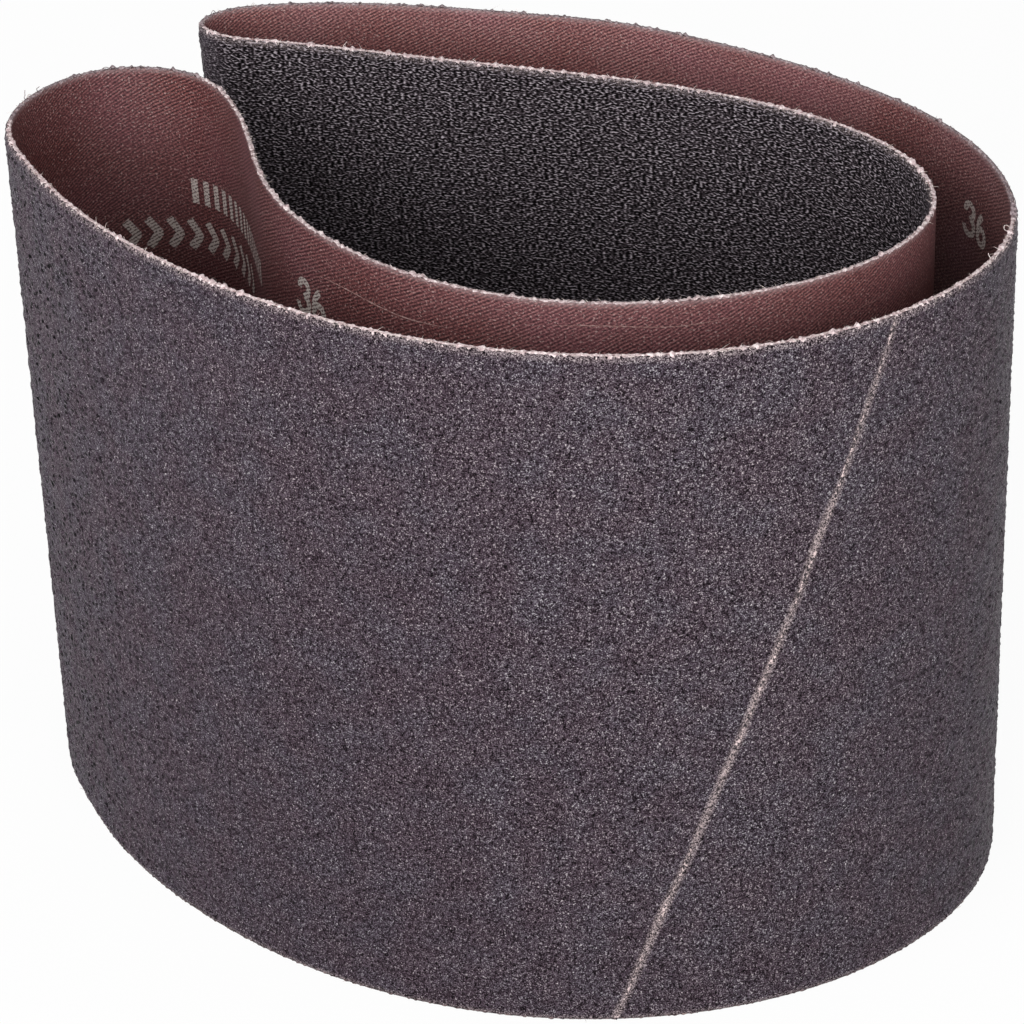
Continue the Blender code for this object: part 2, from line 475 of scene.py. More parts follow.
weave = {
    "ribsAlong": 1100.0,  # twill ribs crossed in one metre along the belt
    "ribsUp": 1910.0,  # and in one metre up its width
    "floatLength": 0.6 * mm,  # one thread's run over its neighbours
    "ribsLow": 0.14,  # how deep the ribs stand where the resin fills them, and where it doesn't
    "ribsHigh": 0.25,
    "flatBend": 205 * mm,  # the bend at the right, where they are flattest
    "flatReach": 45 * mm,
    "flatShare": -0.45,
    # the thread's own brown, with painted shade in the valleys and painted highlights on the crests
    "valleyShade": "#30171b",
    "thread": "#704548",
    "crest": "#b2807b",
    "lint": "#bfa39e",
    # specks of lint, so many cells in a tenth of a metre: their radius in cells, how rare, how strong
    "lintCells": 75.0,
    "lintRadius": 0.09,
    "lintRarity": 0.74,
    "lintStrength": 0.6,
    # single pale yarn fibres that the dye missed, and the ink's cover from the valleys to the crests
    "missedFibres": 330.0,
    "missed": (0.66, 0.78, 0.0, 0.62),
    "cover": (0.32, 0.52, 0.15, 1.0),
    "tints": [(0.36, "#fff4ee"), (0.50, "#ffffff"), (0.64, "#faf6ff")],
    "ink": "#c6bcb6",
    "haze": "#a08a8a",  # worn resin just under the upper cut
    "hazeReach": 0.8 * mm,
    "roughness": 0.6,
    "inkRoughness": 0.7,
    "bump": (0.8, 0.06 * mm),
    # painted light and shade along the roll: darkest just before the loop closes, palest along the back
    "lightAndShadeAlong": [
        (0.0, "#f0d4da"), (0.05, "#dacdcf"), (0.30, "#dae0e3"), (0.37, "#ffffff"), (0.50, "#ffffff"),
        (0.72, "#e9e1e1"), (0.88, "#d6cdd1"), (0.95, "#d8cccf"), (0.975, "#cdbcbe"),
    ],
}


def twill(tree, uv, along, height):
    # rib height, about 0 to 1: slanted ribs, broken where one thread dives under the next
    turns = maths(tree, "MULTIPLY", height, weave["ribsUp"])
    turns = multiplyAdd(tree, along, weave["ribsAlong"], turns)
    turns = multiplyAdd(tree, noise(tree, uv, 34.0, 4.0), 1.1, turns)
    rib = maths(tree, "SINE", maths(tree, "MULTIPLY", turns, 2 * math.pi))
    run = maths(tree, "DIVIDE", maths(tree, "SUBTRACT", along, height), weave["floatLength"])
    grid = addNode(tree, "ShaderNodeCombineXYZ", None, {"X": turns, "Y": run}).outputs[0]
    floats = multiplyAdd(tree, noise(tree, grid, 1.5, 1.0), 1.3, -0.15)
    # the resin fills the weave unevenly, so its ribs fade in and out
    filled = noise(tree, uv, 13.0, 3.0)
    depth = mapRange(tree, filled, 0.35, 0.65, weave["ribsLow"], weave["ribsHigh"])
    flat = fade(tree, away(tree, along, weave["flatBend"]), weave["flatReach"])
    depth = maths(tree, "MULTIPLY", depth, multiplyAdd(tree, flat, weave["flatShare"], 1.0))
    return multiplyAdd(tree, rib, depth, floats)


def clothColours(tree):
    # the twill's relief and its colour
    uv, along, height = beltUv(tree)
    relief = twill(tree, uv, along, height)
    broad = noise(tree, uv, 6.0, 4.0)
    tone = multiplyAdd(tree, broad, 0.3, maths(tree, "SUBTRACT", relief, 0.15))
    # painted shade in the rib valleys and painted highlights on the crests, over the thread's own brown
    colour = ramp(tree, tone, [
        (0.12, weave["valleyShade"]), (0.50, weave["thread"]), (0.92, weave["crest"])])
    colour = mixColour(tree, 1.0, colour, ramp(tree, broad, weave["tints"]), "MULTIPLY")
    # painted light and shade along the belt
    lightAndShadeAlong = ramp(tree, maths(tree, "DIVIDE", along, belt["length"]), weave["lightAndShadeAlong"])
    colour = mixColour(tree, 1.0, colour, lightAndShadeAlong, "MULTIPLY")
    cells = addNode(tree, "ShaderNodeTexVoronoi", {"feature": "F1"}, {
        "Vector": uv, "Scale": weave["lintCells"], "Randomness": 1.0})
    speck = maths(tree, "LESS_THAN", cells.outputs["Distance"], weave["lintRadius"])
    pick = addNode(tree, "ShaderNodeSeparateXYZ", None, {"Vector": cells.outputs["Color"]}).outputs["X"]
    speck = maths(tree, "MULTIPLY", speck, maths(tree, "GREATER_THAN", pick, weave["lintRarity"]))
    speck = maths(tree, "MULTIPLY", speck, weave["lintStrength"])
    colour = mixColour(tree, speck, colour, linear(weave["lint"]))
    fine = noise(tree, uv, weave["missedFibres"], 0.0)
    missed = mapRange(tree, fine, *weave["missed"])
    colour = mixColour(tree, missed, colour, linear(weave["lint"]))
    under = maths(tree, "SUBTRACT", beltWidth, height)
    haze = maths(tree, "MULTIPLY", fade(tree, under, weave["hazeReach"]), fine)
    return relief, mixColour(tree, haze, colour, linear(weave["haze"]))


def clothMaterial():
    # brown-dyed twill filled with resin: low sheen, fine diagonal ribs, a few pale specks of lint
    material, tree, shader = newMaterial("resinFilledTwill")
    relief, colour = clothColours(tree)
    finishShader(tree, shader, colour, weave["roughness"], relief, weave["bump"])
    return material


def inkMaterial():
    # grey printing ink on the same cloth: it sits on the crests, and the valleys stay brown
    material, tree, shader = newMaterial("greyInkOnTwill")
    relief, colour = clothColours(tree)
    cover = mapRange(tree, relief, *weave["cover"])
    colour = mixColour(tree, cover, colour, linear(weave["ink"]))
    finishShader(tree, shader, colour, weave["inkRoughness"], relief, weave["bump"])
    return material


fuzzLook = {"middle": 0.48, "roughness": 0.9, "bump": (0.7, 0.08 * mm)}


def fuzzMaterial(name, dark, mid, pale, scale, spread=0.18):
    # raw cut cotton and polyester: pale, dry and soft, tinted where the resin reached it
    material, tree, shader = newMaterial(name)
    place = addNode(tree, "ShaderNodeTexCoord").outputs["Object"]
    fibres = noise(tree, place, scale, 4.0, 0.65)
    middle = fuzzLook["middle"]
    colour = ramp(tree, fibres, [(middle - spread, dark), (middle, mid), (middle + spread, pale)])
    finishShader(tree, shader, colour, fuzzLook["roughness"], fibres, fuzzLook["bump"])
    return material


tapeLook = {
    "colours": [(0.4, "#4d2f28"), (0.62, "#7a5547"), (0.85, "#97705f")],
    "roughness": 0.32,
    "bump": (0.35, 0.04 * mm),
}


def tapeMaterial():
    # thin polyester film with adhesive at the rim: satin, amber where it is thick
    material, tree, shader = newMaterial("polyesterSpliceFilm")
    uv, along, height = beltUv(tree)
    relief = twill(tree, uv, along, height)
    tone = multiplyAdd(tree, relief, 0.25, noise(tree, uv, 25.0, 4.0))
    colour = ramp(tree, tone, tapeLook["colours"])
    finishShader(tree, shader, colour, tapeLook["roughness"], relief, tapeLook["bump"])
    return material


grainMaterial = grainCoatMaterial()
twillMaterial = clothMaterial()
printMaterial = inkMaterial()
# cut cloth that is dry, resin-soaked, or painted in shade along the lower cut, then loose yarn, cured
# adhesive and rubbed thread
edgeMaterial = fuzzMaterial("rawCutCloth", "#826a6b", "#c0abac", "#ebe0df", 2400.0)
soakedEdgeMaterial = fuzzMaterial("resinSoakedCutCloth", "#4b3d40", "#7f6f73", "#b3a3a5", 2400.0)
# the lower cut edge is painted darker: painted shade
shadedLowerEdgeMaterial = fuzzMaterial("shadedLowerCutCloth", "#33262a", "#564547", "#84726f", 2400.0)
fibreMaterial = fuzzMaterial("looseYarnFibre", "#b09c96", "#cfc0ba", "#ece3de", 900.0)
jointMaterial = fuzzMaterial("spliceAdhesive", "#1d171b", "#42393d", "#c9b5b4", 2500.0, 0.10)
scuffMaterial = fuzzMaterial("rubbedThread", "#6b4745", "#8f6d68", "#b89d97", 1500.0)
filmMaterial = tapeMaterial()
print("materials ready")

# Grain: one relief of chipped, resin-rounded grains over the whole strip
grain = {
    "spacing": 0.70 * mm,  # drawn a little coarser than grit 36, whose grains are 0.54 mm
    "step": 0.42 * mm,
    "patches": 4,
    "lowest": 0.14,  # share of the coat's depth that the resin fills between grains
    "seed": 36,
    # each grain, in cells: how far it is off the middle, its length, and its width as a share of that
    "shift": 0.42,
    "long": (0.72, 1.15),
    "short": (0.55, 0.95),
    "turn": 0.9,
    # its height as a share of the coat, mostly low, and the level and tilt of its broken top
    "low": 0.45,
    "tallest": 0.55,
    "rarity": 1.6,
    "broken": 0.78,
    "tilt": 0.55,
    # the mesh's own points are shaken, so that its rows do not show
    "shakeSeed": 5,
    "shake": 0.12 * mm,
    # the coat stops short at the splice, and is chipped where the strip was cut to width
    "spliceGap": 0.05 * mm,
    "spliceReach": 0.4 * mm,
    "spliceShare": 0.25,
    "chippedShare": 0.15,
    "chippedReach": 0.7 * mm,
}


def grainRelief(along, height):
    random = np.random.default_rng(grain["seed"])
    columns = round(belt["length"] / grain["spacing"])
    rows = math.ceil(beltWidth / grain["spacing"]) + 4
    cell = np.array([belt["length"] / columns, grain["spacing"]])
    shape = (columns, rows)
    shift = random.uniform(-grain["shift"], grain["shift"], (*shape, 2))
    tall = grain["low"] + grain["tallest"] * random.random(shape) ** grain["rarity"]
    long = random.uniform(*grain["long"], shape) * grain["spacing"]
    short = long * random.uniform(*grain["short"], shape)
    angle = random.normal(0, grain["turn"], shape)
    tilt = random.uniform(-grain["tilt"], grain["tilt"], (*shape, 2))
    i = np.floor(along / cell[0]).astype(int)
    j = np.floor(height / cell[1]).astype(int) + 2
    best = np.zeros(along.shape)
    for di in (-1, 0, 1):
        for dj in (-1, 0, 1):
            a = (i + di) % columns
            b = np.clip(j + dj, 0, rows - 1)
            dx = along - (i + di + 0.5 + shift[a, b, 0]) * cell[0]
            dz = height - (j + dj - 2 + 0.5 + shift[a, b, 1]) * cell[1]
            c, s = np.cos(angle[a, b]), np.sin(angle[a, b])
            u = (dx * c + dz * s) / long[a, b]
            v = (dz * c - dx * s) / short[a, b]
            dome = np.sqrt(np.clip(1 - u * u - v * v, 0, None))
            top = np.minimum(dome, grain["broken"] + tilt[a, b, 0] * u + tilt[a, b, 1] * v)
            best = np.maximum(best, tall[a, b] * np.clip(top, 0, 1))
    return best


def buildGrain():
    columns = grain["patches"] * round(belt["length"] / grain["step"] / grain["patches"])
    rows = round(beltWidth / grain["step"])
    heights = np.linspace(0, beltWidth, rows + 1)
    along = np.arange(columns + 1) / columns * belt["length"]
    s, z = np.meshgrid(along, heights, indexing="ij")
    random = np.random.default_rng(grain["shakeSeed"])
    shake = random.uniform(-1, 1, s.shape) * grain["shake"]
    shake[[0, -1]] = 0
    s = s + shake
    relief = grainRelief(np.mod(s, belt["length"]), z)
    relief[-1] = relief[0]
    fromSplice = (np.abs(s - spliceAt(z)) - grain["spliceGap"]) / grain["spliceReach"]
    relief = relief * np.clip(fromSplice, grain["spliceShare"], 1)
    fromCut = np.minimum(z, beltWidth - z)
    chipped = np.clip(grain["chippedShare"] + fromCut / grain["chippedReach"], 0, 1)
    outside = belt["coatFoot"] + belt["coatDepth"] * chipped * (
        grain["lowest"] + (1 - grain["lowest"]) * relief
    )
    # both cut edges fold over to the cloth
    lip = np.full((columns + 1, 1), belt["clothHalf"])
    outside = np.concatenate([lip, outside, lip], axis=1)
    s = np.concatenate([s[:, :1], s, s[:, -1:]], axis=1)
    z = np.concatenate([z[:, :1], z, z[:, -1:]], axis=1)
    points = wall(s, z, outside)
    share = columns // grain["patches"]
    for k in range(grain["patches"]):
        part = slice(k * share, (k + 1) * share + 1)
        patch = points[part]
        faces = gridFaces(*patch.shape[:2])
        place = np.stack([s[part], z[part]], axis=-1)
        piece = makePiece(f"grainCoat{k + 1}", patch, faces[:, ::-1], grainMaterial, place)
        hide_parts("abrasive_coat")


buildGrain()
print("grain built")

# Cloth: the smooth inner face of the strip, with its cut edges
cloth = {"columns": 720, "rows": 26}


def buildCloth():
    # one closed section, swept along the belt: the seam of the map gets a column of its own
    along = np.arange(cloth["columns"] + 1) / cloth["columns"] * belt["length"]
    heights = np.linspace(0, beltWidth, cloth["rows"])
    inner, outer = -belt["clothHalf"], belt["clothHalf"]
    outside = np.array([outer, *np.full(cloth["rows"], inner), outer])[None, :]
    height = np.array([0.0, *heights, beltWidth])[None, :]
    s = along[:, None] + 0 * outside
    z = height + 0 * s
    points = wall(s, z, outside)
    points[-1] = points[0]
    faces = gridFaces(*s.shape, closeColumns=True)
    piece = makePiece("twillCloth", points, faces, twillMaterial, np.stack([s, z], axis=-1))
    piece.data.set_sharp_from_angle(angle=sharpFrom)
    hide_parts("cloth_backing")


buildCloth()
print("cloth built")

# Cut edges: a ragged crust of raw yarn ends, and the loose fibres that stand from it
edge = {
    "step": 0.16 * mm,
    # each point's own roughness, blended with its neighbours
    "rough": 0.08 * mm,
    "roughBlend": 0.35,
    "roughAcross": 0.6,
    # clumps swell the whole section by these shares
    "clump": 1.3 * mm,
    "clumpRise": 0.07 * mm,
    "clumpAcross": 0.25,
    "clumpUp": 0.35,
    "tuft": 0.18 * mm,
    "tuftRarity": 0.955,
    "tuftSize": (0.3, 1.0),
    "tuftBlend": 0.6,
    # wider bumps where a yarn end has folded over
    "knots": 110,
    "knotSize": (0.4, 1.5),
    "knotWidth": 0.24 * mm,
    "knotRise": 0.22 * mm,
    "knotReach": 0.08 * mm,
    "highest": 0.45 * mm,
    # across the strip from the cloth face to the grain, and up from the cut, in millimetres
    "upper": [
        (-0.25, -0.03), (-0.20, 0.03), (-0.11, 0.07), (0.0, 0.08), (0.10, 0.06),
        (0.20, 0.02), (0.30, -0.06), (0.38, -0.34),
    ],
    "lower": [(-0.25, -0.14), (-0.22, -0.02), (0.0, 0.0), (0.22, 0.0), (0.40, -0.06), (0.42, -0.2)],
    # stretches whose upper cut stayed dark with resin
    "soaked": [(172 * mm, 315 * mm), (575 * mm, 609 * mm)],
}


def wave(along, seed, scale, octaves=3):
    # a smooth closed ripple along the belt, between about -1 and 1
    random = np.random.default_rng(seed)
    total = np.zeros(np.shape(along))
    for octave in range(octaves):
        cycles = round(belt["length"] / scale * 2**octave)
        for _ in range(3):
            turns = cycles + random.integers(-cycles // 5, cycles // 5 + 1)
            phase = random.uniform(0, 6.28)
            total = total + np.sin(2 * math.pi * turns * along / belt["length"] + phase) / 2**octave
    return total / 3.5


def edgeKnots(along, random):
    knots = np.zeros(along.shape)
    places = random.random(edge["knots"]) * belt["length"]
    sizes = random.uniform(*edge["knotSize"], edge["knots"])
    for place, size in zip(places, sizes):
        bump = np.exp(-(((along - place) / (edge["knotWidth"] * size)) ** 2))
        knots = np.maximum(knots, size * bump)
    return knots


def buildEdge(name, base, up, seed, material):
    columns = round(belt["length"] / edge["step"])
    along = np.arange(columns) / columns * belt["length"]
    random = np.random.default_rng(seed)
    profile = np.array(edge["upper" if up > 0 else "lower"]) * mm
    across, rise = profile[None, :, 0], profile[None, :, 1]
    s = along[:, None] + 0 * across
    rough = random.normal(0, 1, s.shape)
    beside = np.roll(rough, 1, axis=0) + np.roll(rough, -1, axis=0)
    rough = (0.5 * rough + edge["roughBlend"] * beside) * edge["rough"]
    clumps = wave(along, seed + 1, edge["clump"])[:, None]
    tuft = random.random((columns, 1)) > edge["tuftRarity"]
    tuft = tuft * random.uniform(*edge["tuftSize"], (columns, 1))
    tuft = tuft + edge["tuftBlend"] * (np.roll(tuft, 1, axis=0) + np.roll(tuft, -1, axis=0))
    knots = edgeKnots(along, random)[:, None] * (up > 0)
    outside = across * (1 + edge["clumpAcross"] * clumps) + rough * edge["roughAcross"]
    outside = outside + edge["knotReach"] * knots * np.sign(across)
    z = base + up * (rise * (1 + edge["clumpUp"] * clumps) + rough)
    lift = edge["tuft"] * tuft + edge["clumpRise"] * clumps + edge["knotRise"] * knots
    z = np.clip(z + up * lift * (up > 0), 0.0, beltWidth + edge["highest"])
    points = wall(s, z, outside)
    faces = gridFaces(columns, len(profile), closeRows=True)
    if up < 0:
        faces = faces[:, ::-1]
    piece = makePiece(name, points, faces, material, np.stack([s, z], axis=-1))
    if up > 0:
        piece.data.materials.append(soakedEdgeMaterial)
        faceAt = along[faces[:, 0] // len(profile)]
        soaked = sum((faceAt > start) & (faceAt < end) for start, end in edge["soaked"])
        piece.data.polygons.foreach_set("material_index", soaked.astype(np.int32))


def tubes(paths, radii):
    # thin three-sided tapering tubes along paths of shape (count, steps, 3)
    count, steps, _ = paths.shape
    ahead = np.gradient(paths, axis=1)
    ahead = ahead / (np.linalg.norm(ahead, axis=2, keepdims=True) + 1e-12)
    side = np.cross(ahead, np.array([0.37, 0.21, 0.9]))
    side = side / (np.linalg.norm(side, axis=2, keepdims=True) + 1e-12)
    third = np.cross(ahead, side)
    turns = np.arange(3) * 2 * math.pi / 3
    ringPoints = (
        paths[:, :, None, :]
        + radii[:, :, None, None] * (np.cos(turns)[None, None, :, None] * side[:, :, None, :]
                                     + np.sin(turns)[None, None, :, None] * third[:, :, None, :])
    )
    one = gridFaces(steps, 3, closeColumns=True)
    faces = (one[None, :, :] + (np.arange(count) * steps * 3)[:, None, None]).reshape(-1, 4)
    return ringPoints.reshape(-1, 3), faces


fibre = {
    "upper": 1500,
    "lower": 400,
    "steps": 4,
    "radius": 0.04 * mm,
    "radiusSpread": (0.6, 1.5),
    "taper": 0.7,
    "shortest": 0.12 * mm,
    "meanLength": 0.26 * mm,
    "longest": 1.0 * mm,
    "start": (-0.25, 0.45),  # across the strip, in millimetres
    # spread of the way that a fibre points: along the belt, across it, and up
    "drift": (0, 0.9),
    "lean": (0.1, 0.8),
    "rise": (0.25, 0.45),
    "curl": 0.6,
    "curlAlong": 0.6,
    "curlAcross": 0.4,
    "flat": 0.2,  # a fibre that rises less than this droops
    "droop": 0.35,
    "floorGap": 0.03 * mm,
    "yarnRadius": 0.06 * mm,
    # from, to and how thick the fuzz stands there
    "stretches": [
        (0, 172 * mm, 1.0), (172 * mm, 260 * mm, 0.15), (260 * mm, 315 * mm, 0.5),
        (315 * mm, 430 * mm, 0.7), (430 * mm, 575 * mm, 0.35), (575 * mm, 610 * mm, 0.3),
    ],
}


def buildFibres(name, count, base, up, seed):
    random = np.random.default_rng(seed)
    stretches = np.array(fibre["stretches"])
    share = stretches[:, 2] * (stretches[:, 1] - stretches[:, 0])
    pick = random.choice(len(stretches), count, p=share / share.sum())
    along = stretches[pick, 0] + random.random(count) * (stretches[pick, 1] - stretches[pick, 0])
    start = random.uniform(*fibre["start"], count) * mm
    length = random.gamma(2.0, fibre["meanLength"] / 2, count) + fibre["shortest"]
    length = np.minimum(length, fibre["longest"])
    drift = random.normal(*fibre["drift"], count)
    lean = random.normal(*fibre["lean"], count)
    rise = np.abs(random.normal(*fibre["rise"], count))
    size = np.sqrt(drift**2 + lean**2 + rise**2)
    t = np.linspace(0, 1, fibre["steps"])[None, :]
    bow = random.normal(0, fibre["curl"], (count, 1)) * length[:, None] * t * t
    sag = length[:, None] * fibre["droop"] * t * t * (rise < fibre["flat"])[:, None]
    s = along[:, None] + (drift / size * length)[:, None] * t + bow * fibre["curlAlong"]
    outside = start[:, None] + (lean / size * length)[:, None] * t - bow * fibre["curlAcross"]
    z = base + up * ((rise / size * length)[:, None] * t - sag)
    paths = wall(s, np.clip(z, fibre["floorGap"], None), outside)
    thick = fibre["radius"] * random.uniform(*fibre["radiusSpread"], count)
    points, faces = tubes(paths, thick[:, None] * (1 - fibre["taper"] * t))
    piece = makePiece(name, points, faces, fibreMaterial)


# longer yarn ends, in millimetres: place along the belt, how stained, then steps along, up and out
yarnEnds = [
    (602.4, "soaked", [
        (0.0, -0.2, 0.1), (0.3, 0.2, 0.4), (0.1, 0.6, 0.3), (0.3, 0.9, 0.2), (0.0, 1.3, 0.3)]),
    (601.6, "pale", [
        (0.6, -0.3, 0.2), (0.5, 0.0, 0.4), (0.1, 0.3, 0.4), (-0.3, 0.2, 0.3), (-0.5, -0.1, 0.2)]),
    (599.8, "soaked", [
        (0.0, -0.2, 0.1), (0.1, 0.3, 0.3), (0.2, 0.5, 0.2), (0.0, 0.6, 0.1), (-0.2, 0.7, 0.0)]),
    (589.6, "soaked", [
        (0.0, 0.0, 0.0), (-0.3, 0.2, 0.1), (-0.6, 0.3, 0.2), (-1.0, 0.2, 0.3), (-1.2, 0.1, 0.2)]),
    (169.6, "pale", [
        (0.0, 0.0, -0.2), (0.0, 0.3, -0.6), (-0.4, 0.3, -0.9), (-0.8, 0.0, -0.8), (-0.9, -0.2, -0.3)]),
    (160.6, "pale", [
        (0.0, -0.1, 0.0), (0.0, 0.2, -0.2), (0.1, 0.4, -0.4), (0.3, 0.5, -0.6), (0.5, 0.4, -0.6)]),
    (311.0, "soaked", [
        (0.0, -0.1, 0.0), (-0.2, 0.3, 0.1), (-0.5, 0.5, 0.2), (-0.8, 0.4, 0.2), (-0.9, 0.1, 0.0)]),
    (336.2, "pale", [
        (0.0, 0.0, 0.0), (0.1, 0.3, -0.2), (0.3, 0.6, -0.3), (0.5, 0.8, -0.3), (0.6, 0.9, -0.3)]),
]


def buildYarnEnds(name, stain, material):
    paths = []
    for place, state, steps in yarnEnds:
        if state != stain:
            continue
        path = np.array(steps, float) * mm
        for _ in range(2):
            # cutting the corners twice, a quarter from each, makes a soft curve
            before, after = path[:-1], path[1:]
            cut = np.stack([0.75 * before + 0.25 * after, 0.25 * before + 0.75 * after], axis=1)
            path = np.concatenate([path[:1], cut.reshape(-1, 3), path[-1:]])
        paths.append(wall(place * mm + path[:, 0], beltWidth + path[:, 1], path[:, 2]))
    paths = np.stack(paths)
    points, faces = tubes(paths, np.full(paths.shape[:2], fibre["yarnRadius"]))
    piece = makePiece(name, points, faces, material)


buildEdge("cutEdgeUpper", beltWidth, 1, 11, edgeMaterial)
buildEdge("cutEdgeLower", 0.0, -1, 12, shadedLowerEdgeMaterial)
buildFibres("looseFibresUpper", fibre["upper"], beltWidth, 1, 21)
buildFibres("looseFibresLower", fibre["lower"], 0.0, -1, 22)
buildYarnEnds("paleYarnEnds", "pale", fibreMaterial)
buildYarnEnds("soakedYarnEnds", "soaked", soakedEdgeMaterial)
print("cut edges built")

# Splice: a ragged line of adhesive between the butted coats, and the film across the cloth behind it
splice = {
    "seed": 31,
    "lineStep": 0.2 * mm,
    "lineColumns": 6,
    "lineInset": 0.1 * mm,  # from the cuts
    # the line's width swells and its path drifts between this many places up the belt
    "lineWidth": 0.36 * mm,
    "swellPlaces": 46,
    "swell": 0.8,
    "uneven": 0.5,
    "narrowest": 0.1,
    "widest": 2.4,
    "drift": 0.26 * mm,
    "driftPlaces": 22,
    # its height, in shares of the coat
    "base": 0.16,
    "crown": 0.34,
    "swellRise": 0.22,
    "beads": 0.24,
    "filmRows": 60,
    "filmColumns": 12,
    "filmWidth": 18 * mm,
    "filmTrim": 0.4 * mm,
    "filmDepth": 0.15 * mm,
    "filmGap": 0.1 * mm,
}


def buildSpliceLine():
    rows, columns = round(beltWidth / splice["lineStep"]), splice["lineColumns"]
    height = np.linspace(splice["lineInset"], beltWidth - splice["lineInset"], rows)
    across = np.linspace(-1, 1, columns)[None, :]
    random = np.random.default_rng(splice["seed"])

    def slow(places):
        # a random value from -1 to 1 at so many places, and even between them
        return np.interp(height, np.linspace(0, beltWidth, places), random.uniform(-1, 1, places))[:, None]

    swell = slow(splice["swellPlaces"])
    drift = slow(splice["driftPlaces"])
    wide = 1 + splice["swell"] * swell + splice["uneven"] * random.normal(0, 1, (rows, 1))
    half = splice["lineWidth"] / 2 * np.clip(wide, splice["narrowest"], splice["widest"])
    z = height[:, None] + 0 * across
    s = spliceAt(z) + across * half + drift * splice["drift"]
    rise = splice["base"] + splice["crown"] * (1 - across**2) + splice["swellRise"] * swell
    rise = rise + splice["beads"] * random.normal(0, 1, z.shape)
    outside = belt["coatFoot"] + belt["coatDepth"] * np.minimum(rise, 1)
    place = np.stack([s, z], axis=-1)
    piece = makePiece("spliceLine", wall(s, z, outside), gridFaces(rows, columns), jointMaterial, place)


def buildSpliceFilm():
    rows, columns = splice["filmRows"], splice["filmColumns"]
    height = np.linspace(splice["filmTrim"], beltWidth - splice["filmTrim"], rows)[:, None]
    shift = np.linspace(-0.5, 0.5, columns)[None, :] * splice["filmWidth"]
    s = spliceAt(height) + shift
    z = height + 0 * s
    near = -belt["clothHalf"] - splice["filmGap"]
    sheets = [wall(s, z, near), wall(s, z, near - splice["filmDepth"])]
    points = np.concatenate([sheet.reshape(-1, 3) for sheet in sheets])
    faces = gridFaces(rows, columns)
    count = rows * columns
    order = np.arange(count).reshape(rows, columns)
    rim = np.concatenate([order[0, :-1], order[:-1, -1], order[-1, :0:-1], order[:0:-1, 0]])
    ahead = np.roll(rim, -1)
    sides = np.stack([rim, ahead, ahead + count, rim + count], axis=-1)
    allFaces = np.concatenate([faces[:, ::-1], faces + count, sides])
    place = np.tile(np.stack([s, z], axis=-1).reshape(-1, 2), (2, 1))
    piece = makePiece("spliceFilm", points, allFaces, filmMaterial, place)
    piece.data.set_sharp_from_angle(angle=sharpFrom)
    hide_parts("splice_tape")


buildSpliceLine()
buildSpliceFilm()
print("splice built")

# Print on the cloth: plain numerals, bars and chevrons
printForm = {
    "lift": 0.02 * mm,
    # the rest is in the print's own millimetres
    "step": 0.25,
    "columns": 4,
    "numberSize": 4.9,
    "numberWeight": 0.95,
    "numberPitch": 0.65,
    "numberLean": 0.10,
    "climb": 0.055,  # the rows climb a little to the right
    "pointed": 0.36,  # a chevron's depth, as a share of its height
}


def stroke(points, width):
    # a flat band along a drawn line
    points = np.array(points, float)
    distance = np.concatenate([[0], np.cumsum(np.linalg.norm(np.diff(points, axis=0), axis=1))])
    count = max(2, int(distance[-1] / printForm["step"]) + 1)
    at = np.linspace(0, distance[-1], count)
    path = np.stack([np.interp(at, distance, points[:, 0]), np.interp(at, distance, points[:, 1])], axis=1)
    step = np.gradient(path, axis=0)
    step = step / np.linalg.norm(step, axis=1, keepdims=True)
    side = np.stack([-step[:, 1], step[:, 0]], axis=1)
    across = np.linspace(-0.5, 0.5, printForm["columns"])
    return path[:, None, :] + side[:, None, :] * (across * width)[None, :, None]


def arc(cx, cy, rx, ry, start, end, count=16):
    turn = np.radians(np.linspace(start, end, count))
    return list(zip(cx + rx * np.cos(turn), cy + ry * np.sin(turn)))


def numeral(digit, x, size):
    # plain rounded figures that lean a little, drawn in a box 0.62 wide and 1 high
    drawn = {
        "3": arc(0.27, 0.75, 0.22, 0.21, 195, -75) + arc(0.27, 0.28, 0.26, 0.25, 80, -175),
        "6": arc(0.60, 0.44, 0.49, 0.56, 122, 180) + arc(0.33, 0.28, 0.22, 0.24, 180, 540, 30),
    }[digit]
    return [(x + (px + printForm["numberLean"] * py) * size, py * size) for px, py in drawn]


def buildPrint(name, bands, along, height):
    # bands are drawn to the right and up, as read from the cloth side
    points, faces, place, count = [], [], [], 0
    for band in bands:
        s = along - band[..., 0] * mm
        z = height + band[..., 1] * mm
        points.append(wall(s, z, -belt["clothHalf"] - printForm["lift"]).reshape(-1, 3))
        place.append(np.stack([s, z], axis=-1).reshape(-1, 2))
        faces.append(gridFaces(*band.shape[:2]) + count)
        count += band.shape[0] * band.shape[1]
    points, faces, place = np.concatenate(points), np.concatenate(faces), np.concatenate(place)
    piece = makePiece(name, points, faces, printMaterial, place)


def gritNumber():
    size, weight = printForm["numberSize"], printForm["numberWeight"]
    return [
        stroke(numeral("3", 0, size), weight),
        stroke(numeral("6", size * printForm["numberPitch"], size), weight),
    ]


def uprights(length, pitch, height, weight):
    # plain upright marks in a row
    starts = [(x, x * printForm["climb"]) for x in np.arange(0, length, pitch)]
    return [stroke([(x, y), (x, y + height)], weight) for x, y in starts]


def chevrons(count, pitch, height, weight):
    # plain marks that point the way the belt runs
    starts = [(k * pitch, k * pitch * printForm["climb"]) for k in range(count)]
    deep = height * printForm["pointed"]
    return [stroke([(x, y), (x + deep, y + height / 2), (x, y + height)], weight) for x, y in starts]


